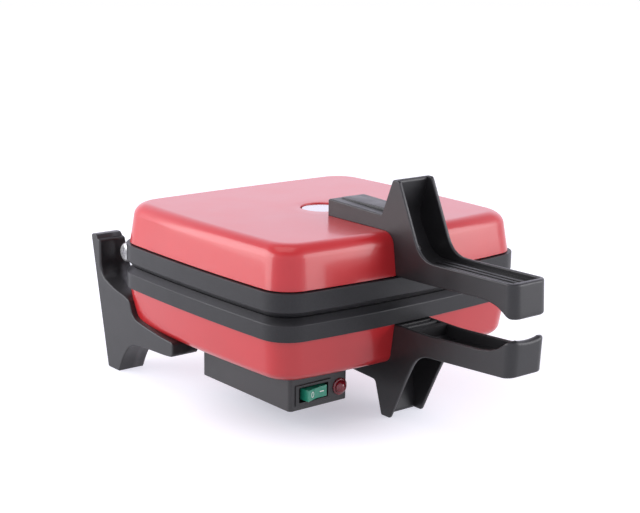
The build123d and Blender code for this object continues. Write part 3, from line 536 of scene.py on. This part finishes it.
def moulded_handle(name, band, upright, foot_round, crest, slope, up, body, node):
    """A handle from its wall, web, pad and ribs, joined into one piece.

    Its side is drawn by two lines of (u, w): the top runs along the arm, up the upright, whose
    crest is at a u, and down to the bar, and the low line runs round the cover's shoulder, down
    its wall and along under the bar. In front of the lift both sink by a slope.
    """
    root = (band + cover_rise) * 1000
    edge_w = band * 1000 + web_gap

    def lifted(points):
        line = np.asarray(points, float)
        return line - np.stack([0 * line[:, 0], np.maximum(0.0, line[:, 0] - lift_from) * slope], -1)

    def bar_block(x, u, w):
        ring = np.arange(x.shape[1])
        ends = [ring, ring + (x.shape[0] - 1) * x.shape[1]]
        return at_handle(x, u, w, up), grid_faces(*x.shape), ends

    top = np.concatenate([
        [(arm_end, root + 10.4), (39.4, root + 12.6), (41.8, root + arm_rise)], upright,
        [(145.0, 35.3)], lifted([(bar_end, 36.8)])])
    top = soft(top, [1.0, 1.5, foot_round] + [0.7] * (len(upright) - 1) + [14.0])
    turn = np.linspace(0.0, math.pi / 2, 12)
    wall_u = cover_front - cover_ledge * 1000 - cover_wall * math.tan(cover_lean) - cover_gap
    shoulder = np.stack([wall_u - shoulder_round + shoulder_round * np.sin(turn),
                         root - arm_seat - shoulder_round + shoulder_round * np.cos(turn)], -1)
    underside = lifted([
        (155, edge_w + 0.7), (175, edge_w + 1.4), (206.5, edge_w + 2.4), (216.1, edge_w + 1.4),
        (221.9, edge_w - 0.1), (228.2, edge_w - 3.6), (232.6, edge_w - 6.8), (bar_end, edge_w - 7.2)])
    low = np.concatenate([[(arm_end, root - arm_seat)], shoulder, [(119.2, edge_w)], underside])
    low = np.concatenate([low[:13], soft(low[13:], 6.0)])
    x, u, w = handle_wall(top, low, 1.4 if up < 0 else 0.0)
    blocks = [(at_handle(x, u, w, up), grid_faces(*x.shape, looped=True), [])]

    # the web: arm, back of the upright, floor of the channel and tray, hollow underside
    peak = max(w for u, w in upright)
    arm = top[(top[:, 0] > 40.6) & (top[:, 0] < crest)] + [0.0, 0.03]
    channel = soft(np.concatenate([
        [(crest + 0.8, peak - 0.3), (crest + 1.9, peak - 2.0), (upright[0][0] + 5.5, root + 8.5),
         (126.0, tray_floor)],
        lifted([(lift_from, tray_floor), (tray_end, tray_floor + 1.0)])]), [1.0, 9.0, 15.0, 2.0])
    scoop = soft([(tray_end, edge_w - 5.4), (231.2, edge_w - 3.4), (225.5, edge_w + 5.0),
                  (214.0, tray_under + 0.3), (lift_from, tray_under)], [1.5, 7.0, 8.0])
    notch = edge_w + notch_roof
    below = lifted([*scoop, (145.0, tray_under), (142.0, tray_under - 2.0), (142.0, edge_w + 0.5),
                    (136.0, edge_w + 0.35), (135.6, notch), (131.4, notch),
                    (131.0, edge_w + 0.3), (128.0, edge_w + 0.25), (127.6, notch),
                    (124.9, notch), (124.5, edge_w + 0.2), (119.2, edge_w + 0.1)])
    ring = np.concatenate([arm, channel, below, shoulder[::-1], [(40.6, root - arm_seat)]])
    half = np.interp(ring[:, 0], [226.0, 234.5], [16.3, 13.4])
    x = half[:, None] * np.array([-1.0, 1.0])
    count = len(ring)
    web = at_handle(x, ring[:, :1], ring[:, 1:], up)
    sides = grid_faces(count, 2, around=False, looped=True)
    blocks.append((web, sides, [np.arange(count) * 2, np.arange(count) * 2 + 1]))

    # the pad on the arm, round at its rear
    curl = 1 - np.cos(np.linspace(0.12, math.pi / 2, 9))
    u = np.concatenate([pad_start + pad_round * curl, np.linspace(48.0, 104.0, 8)])
    behind = np.maximum(0.0, pad_start + pad_round - u)
    half = pad_half + np.sqrt(np.maximum(0.0, pad_round ** 2 - behind ** 2))
    level = root + arm_rise - 0.05 + pad_step * np.clip((u - pad_start) / pad_round, 0, 1)
    blocks.append(bar_block(*bar_along(u, half, level, level - 4.5, 0.6)))

    # the ribs on the tray
    u = np.concatenate([[142.0, 143.0, 145.0], np.linspace(152.0, 227.0, 16), [229.0, 230.5]])
    floor = np.interp(u, channel[:, 0], channel[:, 1])
    height = rib_rise * np.clip((u - 142.0) / 4.0, 0, 1) * np.clip((230.6 - u) / 2.0, 0, 1)
    for middle in rib_places:
        x, wide, w = bar_along(u, np.full_like(u, rib_half), floor + height, floor - 0.8, 0.5)
        blocks.append(bar_block(x + middle, wide, w))

    points, faces, caps, start = [], [], [], 0
    for block, quads, ends in blocks:
        block = block.reshape(-1, 3)
        points.append(block)
        faces.append(quads + start)
        caps += [(end + start).tolist() for end in ends]
        start += len(block)
    piece = surface(name, np.concatenate(points), np.concatenate(faces), bakelite, body,
                    smooth=38.0, caps=caps, settle=True)
    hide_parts(node)


moulded_handle("lid_handle", lid_band,
               [(102.0, 62.4), (112.8, 89.3), (114.2, 90.2), (118.8, 90.2), (120.3, 89.0)],
               1.6, 114.2, 0.0, 1.0, "lid", "upper_handle")
moulded_handle("base_handle", base_band,
               [(99.0, 66.1), (106.8, 91.2), (107.6, 92.0), (116.2, 92.0), (117.2, 91.0), (132.4, 59.5)],
               3.0, 108.3, 0.084, -1.0, "base", "lower_handle")
finish_nodes(zinc_steel, "upper_handle_screws", "lower_handle_screws")


# The rear legs are mouldings of the same resin, hollow from the inside. Each grips under the base,
# stands on the table and rises behind the hinge as the stop that holds the open lid. A corner of
# the side outline is given in mm: behind the plate's middle, over the table, and how far it rounds.
leg_outer = 0.1212
leg_sheet = 0.004
leg_corners = np.array([
    (101.5, 0.0, 1.2), (118.3, 0.0, 1.8), (142.0, 109.5, 3.5), (133.4, 109.5, 1.6), (131.7, 106.4, 0.6),
    (128.2, 105.7, 1.5), (128.2, 83.0, 6.0), (123.5, 75.4, 8.0), (108.0, 69.4, 6.0), (92.0, 66.4, 6.0),
    (84.4, 63.8, 2.2), (80.5, 54.0, 3.0), (75.6, 50.0, 4.0), (60.0, 47.3, 6.0), (38.0, 44.6, 8.0),
    (21.5, 43.6, 3.0), (21.5, 32.0, 3.0), (31.0, 30.7, 4.0), (53.0, 29.8, 8.0), (70.0, 29.4, 8.0),
    (84.0, 26.4, 8.0), (94.5, 14.0, 6.0)])
leg_inner = ([0.03, 0.055, 0.079, 0.109], [0.098, 0.0945, 0.0925, 0.098])
leg_edge = ([0.072, 0.088], [0.0011, 0.0032])
leg_tip, leg_tip_edge = 0.104, 0.0008


def rear_leg(name, side, node):
    """A leg as its side outline carried across, closed by the outer face, with a thickness inward.

    The inner side widens towards the middle below the hinge. The outer edge is a quarter round;
    its radius goes from 1.1 mm on the foot and arm to 3.2 mm on the post and 0.8 mm at the tip,
    as a running mean of 17 points of the outline.
    """
    line = soft(leg_corners[:, :2], leg_corners[:, 2], closed=True, steps=10) / 1000
    line[:, 0] += plate_middle
    z = line[:, 1]
    ahead = np.roll(line, -1, axis=0) - np.roll(line, 1, axis=0)
    ahead /= np.linalg.norm(ahead, axis=1)[:, None]
    inward = np.stack([-ahead[:, 1], ahead[:, 0]], -1)
    radius = np.where(z > leg_tip, leg_tip_edge, np.interp(z, *leg_edge))
    radius = np.convolve(np.concatenate([radius[-8:], radius, radius[:8]]), np.ones(17) / 17, "valid")
    inner = np.interp(z, *leg_inner)
    rings = [np.column_stack([across, line]) for across in (
        inner, 0.5 * (inner + leg_outer), np.full(len(line), leg_outer - 0.0036))]
    a = np.linspace(0.0, math.pi / 2, 8)
    depth = radius[:, None] * (1 - np.cos(a))
    reach = leg_outer - radius[:, None] * (1 - np.sin(a))
    edge = line[:, None] + inward[:, None] * depth[..., None]
    rings += [np.column_stack([reach[:, k], edge[:, k]]) for k in range(len(a))]
    face = line + inward * (radius + 0.0004)[:, None]
    rings.append(np.column_stack([np.full(len(line), leg_outer), face]))
    points = np.stack(rings) * np.array([side, 1.0, 1.0])
    count = len(line)
    piece = surface(name, points, grid_faces(len(rings), count), bakelite, "base", smooth=38.0,
                    caps=[np.arange(count) + (len(rings) - 1) * count], settle=True)
    sheet = piece.modifiers.new("sheet", "SOLIDIFY")
    sheet.thickness = leg_sheet
    sheet.offset = -1.0
    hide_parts(node)


rear_leg("leg_right", 1.0, "rear_leg_right")
rear_leg("leg_left", -1.0, "rear_leg_left")
finish_nodes(zinc_steel, "leg_screws")


# The hinge pins are cross-slotted screws, zinc plated, through the lid's lugs, which turn on brass
# bushes, and the base's lugs.
hinge_zinc = metal("hinge_zinc", (0.86, 0.86, 0.87), 0.4, 700.0, shine=0.75)
bush_brass = metal("bush_brass", (0.6, 0.46, 0.22), 0.3, 900.0)
finish_nodes(hinge_zinc, "hinge_screw_left", "hinge_screw_right", "hinge_nuts", "hinge_washers")
finish_nodes(bush_brass, "hinge_bushes")


# The control box is a moulded housing under the base's front left corner, shut by a flat plate
# with three screws. It holds the terminals, and the cord's bush sits in its rear wall.
box_edge = 0.0004
box_moulding = coated("box_moulding", (0.024, 0.0235, 0.025), 0.42, 1900.0, 0.16, fleck=0.3)
terminal_nylon = coated("terminal_nylon", (0.72, 0.71, 0.66), 0.45, 900.0, 0.1, fleck=0.02)
bush_rubber = coated("bush_rubber", (0.018, 0.018, 0.018), 0.6, 1300.0, 0.25)
rounded("control_box", "switch_box", "base", box_moulding, box_edge)
finish_nodes(box_moulding, "control_box_cover")
finish_nodes(zinc_steel, "cover_screws", "control_box_screws")
finish_nodes(terminal_nylon, "terminal_block")
finish_nodes(bush_rubber, "cord_bush")


# The switch is a snap-in rocker: a black bezel, and a see-through green key whose right end is
# pressed. The lamp beside it is a red domed lens over a neon bulb. The lens's profile and what is
# on the key are in mm.
bezel_edge = 0.0002
box_face = plate_middle - 0.098
lens_centre = (-0.0516, box_face, 0.0272)
lens_profile = [
    (0, 4.8), (1.2, 4.7), (2.4, 4.4), (3.6, 3.85), (4.5, 3.1), (5.0, 2.3), (5.1, 1.5), (5.5, 1.5),
    (6.1, 1.35), (6.5, 0.9), (6.5, 0), (4.7, 0), (4.7, -14), (3.5, -14), (3.5, 0.8), (2.6, 1.9), (0, 2.2)]
key_x, key_z = -0.077, 0.0278
key_turn = math.radians(10.0)
key_pivot = 2.0
key_middle = 3.2
key_rise = 1.8 / 12.0
key_half = 10.2
key_tall = 4.4
key_round = 0.5
key_back = 4.0
mark_rise = 0.12
mark_wire = 0.34
ring_half = (1.4, 2.0)
bar_half = (2.1, 0.45)


def tinted(name, colour, roughness, clear):
    """A tinted plastic that lets some light through, with faint flow marks."""
    material, tree, shader, place = new_finish(name, {
        "Transmission Weight": clear, "IOR": 1.49, "Coat Weight": 0.3, "Coat Roughness": 0.08})
    flow = grain_noise(tree, place, 500.0, 2.0)
    shade_gloss(tree, shader, flow, [0.85 * c for c in colour], [min(1.0, 1.12 * c) for c in colour],
                flow, max(0.03, roughness - 0.05), roughness + 0.05)
    return material


def turned_lens(name, profile, centre, material, node):
    """A surface of revolution about an axis along Y: (radius, forward) turned round the centre."""
    steps = 48
    radius, ahead = np.asarray(profile, float).T / 1000
    angle = np.arange(steps) / steps * 2 * math.pi
    points = np.stack(np.broadcast_arrays(
        centre[0] + radius[:, None] * np.cos(angle), centre[1] - ahead[:, None] + 0 * angle,
        centre[2] + radius[:, None] * np.sin(angle)), -1)
    piece = surface(name, points, grid_faces(len(radius), steps), material, "base", smooth=35.0,
                    settle=True)
    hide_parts(node)


def key_point(along, height, out):
    """A place at the key, in mm along it, over its middle and out of its front, with it at rest.

    The front is a shallow V. The key is turned about its pivot, behind the box's face.
    """
    ahead = key_middle + key_rise * np.abs(along) + out
    x, y = along, -ahead - key_pivot
    return np.stack(np.broadcast_arrays(
        (x * math.cos(key_turn) - y * math.sin(key_turn)) / 1000 + key_x,
        (x * math.sin(key_turn) + y * math.cos(key_turn) + key_pivot) / 1000 + box_face,
        height / 1000 + key_z), -1)


switch_black = coated("switch_black", (0.014, 0.014, 0.015), 0.28, 1500.0, 0.05)
rocker_green = tinted("rocker_green", (0.03, 0.4, 0.26), 0.2, 0.15)
lens_red = tinted("lens_red", (0.36, 0.012, 0.03), 0.14, 0.45)
neon_glass = tinted("neon_glass", (0.85, 0.5, 0.36), 0.1, 0.5)
rounded("switch_housing", "switch_bezel", "base", switch_black, bezel_edge)
turned_lens("lens_dome", lens_profile, lens_centre, lens_red, "indicator_lens")
finish_nodes(neon_glass, "indicator_lamp")

# the key: its outline in plan, stacked up its height with round upper and lower edges
key_end = key_middle + key_rise * key_half
key_line = soft([(-key_half, key_back), (-key_half, -key_end), (0.0, -key_middle), (key_half, -key_end),
                 (key_half, key_back)], [0.8, 0.7, 3.0, 0.7, 0.8], closed=True, steps=7)
key_ahead = np.roll(key_line, -1, axis=0) - np.roll(key_line, 1, axis=0)
key_ahead /= np.linalg.norm(key_ahead, axis=1)[:, None]
arc = np.linspace(0.0, math.pi / 2, 6)
edge_in = key_round * (1 - np.cos(arc))
edge_up = key_tall - key_round * (1 - np.sin(arc))
drawn_in = np.concatenate([edge_in[::-1], edge_in])[:, None]
key_level = np.concatenate([-edge_up[::-1], edge_up])[:, None]
along = key_line[:, 0] - key_ahead[:, 1] * drawn_in
inward = key_line[:, 1] + key_ahead[:, 0] * drawn_in
key_rings = key_point(along, key_level, -inward - key_middle - key_rise * np.abs(along))
key_count = len(key_line)
rocker_key = surface("rocker_key", key_rings, grid_faces(12, key_count), rocker_green, "rocker",
                     caps=[range(key_count), range(11 * key_count, 12 * key_count)],
                     settle=True)
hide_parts("switch_rocker")

# generic marks on the key: an open ring on its raised half and a bar on its pressed half
mark_white = coated("mark_white", (0.86, 0.88, 0.87), 0.4, 900.0, 0.05, fleck=0.01)
wire = np.linspace(0, 2 * math.pi, 8, endpoint=False)
rounds = np.linspace(0, 2 * math.pi, 40, endpoint=False)[:, None]
ring_mark = key_point(-4.9 + (ring_half[0] + mark_wire * np.cos(wire)) * np.cos(rounds),
                      (ring_half[1] + mark_wire * np.cos(wire)) * np.sin(rounds), mark_rise * np.sin(wire))
surface("mark_ring", ring_mark, grid_faces(40, 8, looped=True), mark_white, "rocker", settle=True)
length = bar_half[0] * np.sin(np.linspace(-math.pi / 2, math.pi / 2, 15))[:, None]
thick = np.sqrt(np.maximum(0.0, 1 - (length / bar_half[0]) ** 8))
bar_mark = key_point(5.2 + length, 0.3 + bar_half[1] * thick * np.cos(wire),
                     mark_rise * thick * np.sin(wire))
surface("mark_bar", bar_mark, grid_faces(15, 8), mark_white, "rocker", settle=True)


# The camera stands low to the front left, as the photographer's did. Its lens is given in pixels
# of a picture 640 wide.
view_azimuth = math.radians(-39.3)
view_elevation = math.radians(13.5)
view_roll = math.radians(0.9)
view_distance = 1.1603
view_target = Vector((0.008, 0.04825, 0.09905))
view_lens = 1431.2
sensor_width = 36.0
camera_data = bpy.data.cameras.new("camera")
camera_data.lens = view_lens / 640 * sensor_width
camera_data.sensor_width = sensor_width
camera = bpy.data.objects.new("camera", camera_data)
bpy.context.scene.collection.objects.link(camera)
bpy.context.scene.camera = camera
sa, ca = math.sin(view_azimuth), math.cos(view_azimuth)
se, ce = math.sin(view_elevation), math.cos(view_elevation)
sr, cr = math.sin(view_roll), math.cos(view_roll)
towards = Vector((sa * ce, -ca * ce, se))
level_right = Vector((ca, sa, 0.0))
level_up = towards.cross(level_right)
view_right = level_right * cr + level_up * sr
view_up = level_up * cr - level_right * sr
stand = Matrix((view_right, view_up, towards)).transposed().to_4x4()
stand.translation = view_target + towards * view_distance
camera.matrix_world = stand


# Plain studio: a white floor that keeps a pale shadow near the object, made darker by painted shade
# where its glow is dimmed about a spot under the control box, and runs out to plain white; an even
# surround, and a large soft lamp on each side of the table with a weak one above.
floor_half = 6.0
floor_colour = (0.55, 0.545, 0.565, 1.0)
floor_glow = (0.965, 0.965, 1.07, 1.0)
painted_shade_shift = (0.06, 0.02, 0.0)
painted_shade_reach = (0.02, 0.12)
painted_shade_glow, glow_far = 0.44, 0.72
surround = (0.52, 0.52, 0.53, 1.0)
low_sky = (1.25, 1.22, 1.4, 1.0)
high_sky = (0.42, 0.38, 0.44, 1.0)
sky_band = (0.5, 0.85)
plain_white = (1.0, 1.0, 1.0, 1.0)
lamp_aim = Vector((0.0, 0.0, 0.1))


def either(tree, one, two):
    """The larger of two values, so 1 where a ray is of one kind or the other."""
    return wired(tree, "ShaderNodeMath", "Value", {0: one, 1: two}, operation="MAXIMUM")


floor_mesh = bpy.data.meshes.new("floor")
floor_mesh.from_pydata([(-floor_half, -floor_half, 0), (floor_half, -floor_half, 0),
                        (floor_half, floor_half, 0), (-floor_half, floor_half, 0)], [], [(0, 1, 2, 3)])
floor = bpy.data.objects.new("floor", floor_mesh)
bpy.context.scene.collection.objects.link(floor)
floor_paint, tree, shader, place = new_finish("floor_paint", {
    "Base Color": floor_colour, "Roughness": 0.9, "Specular IOR Level": 0.1})
rays = tree.nodes.new("ShaderNodeLightPath").outputs
seen = either(tree, either(tree, rays["Is Camera Ray"], rays["Is Glossy Ray"]), rays["Is Transmission Ray"])
# painted shade: the floor's glow is dimmed towards a spot under the control box, darkening the floor there
# on top of its real shadow
about = wired(tree, "ShaderNodeMapping", "Vector", {"Vector": place, "Location": painted_shade_shift})
away = wired(tree, "ShaderNodeVectorMath", "Value", {0: about}, operation="LENGTH")
painted_shade_fade = ranged(tree, away, painted_shade_glow, glow_far, *painted_shade_reach, interpolation_type="SMOOTHSTEP")
strength = wired(tree, "ShaderNodeMath", "Value", {0: seen, 1: painted_shade_fade}, operation="MULTIPLY")
glow = wired(tree, "ShaderNodeEmission", "Emission", {"Color": floor_glow, "Strength": strength})
both = wired(tree, "ShaderNodeAddShader", "Shader", {0: shader.outputs["BSDF"], 1: glow})
tree.links.new(both, tree.nodes["Material Output"].inputs["Surface"])
floor_mesh.materials.append(floor_paint)

world = bpy.data.worlds.new("studio")
bpy.context.scene.world = world
world.use_nodes = True
tree = world.node_tree
rays = tree.nodes.new("ShaderNodeLightPath").outputs
seen = either(tree, rays["Is Camera Ray"], rays["Is Transmission Ray"])
place = tree.nodes.new("ShaderNodeTexCoord").outputs["Generated"]
height = wired(tree, "ShaderNodeSeparateXYZ", "Z", {"Vector": place})
climb = ranged(tree, height, 0.0, 1.0, *sky_band, interpolation_type="SMOOTHSTEP")
sky = mixed_colour(tree, climb, low_sky, high_sky)
shown = mixed_colour(tree, rays["Is Glossy Ray"], surround, sky)
tree.links.new(mixed_colour(tree, seen, shown, plain_white), tree.nodes["Background"].inputs["Color"])
tree.nodes["Background"].inputs["Strength"].default_value = 1.0


def soft_lamp(name, where, wide, tall, power):
    """A soft lamp at a place, turned to the object's middle."""
    lamp_data = bpy.data.lights.new(name, "AREA")
    lamp_data.shape = "RECTANGLE"
    lamp_data.size = wide
    lamp_data.size_y = tall
    lamp_data.energy = power
    lamp = bpy.data.objects.new(name, lamp_data)
    bpy.context.scene.collection.objects.link(lamp)
    lamp.rotation_mode = "QUATERNION"
    lamp.rotation_quaternion = (lamp_aim - Vector(where)).to_track_quat("-Z", "Y")
    lamp.location = where


soft_lamp("left_lamp", (-1.4, 0.9, 0.62), 1.6, 1.2, 22.0)
soft_lamp("right_lamp", (1.2, -1.45, 0.62), 1.3, 1.2, 18.5)
soft_lamp("top_lamp", (-0.2, 0.2, 1.7), 1.1, 1.1, 4.0)

bpy.context.scene.view_settings.view_transform = "Standard"
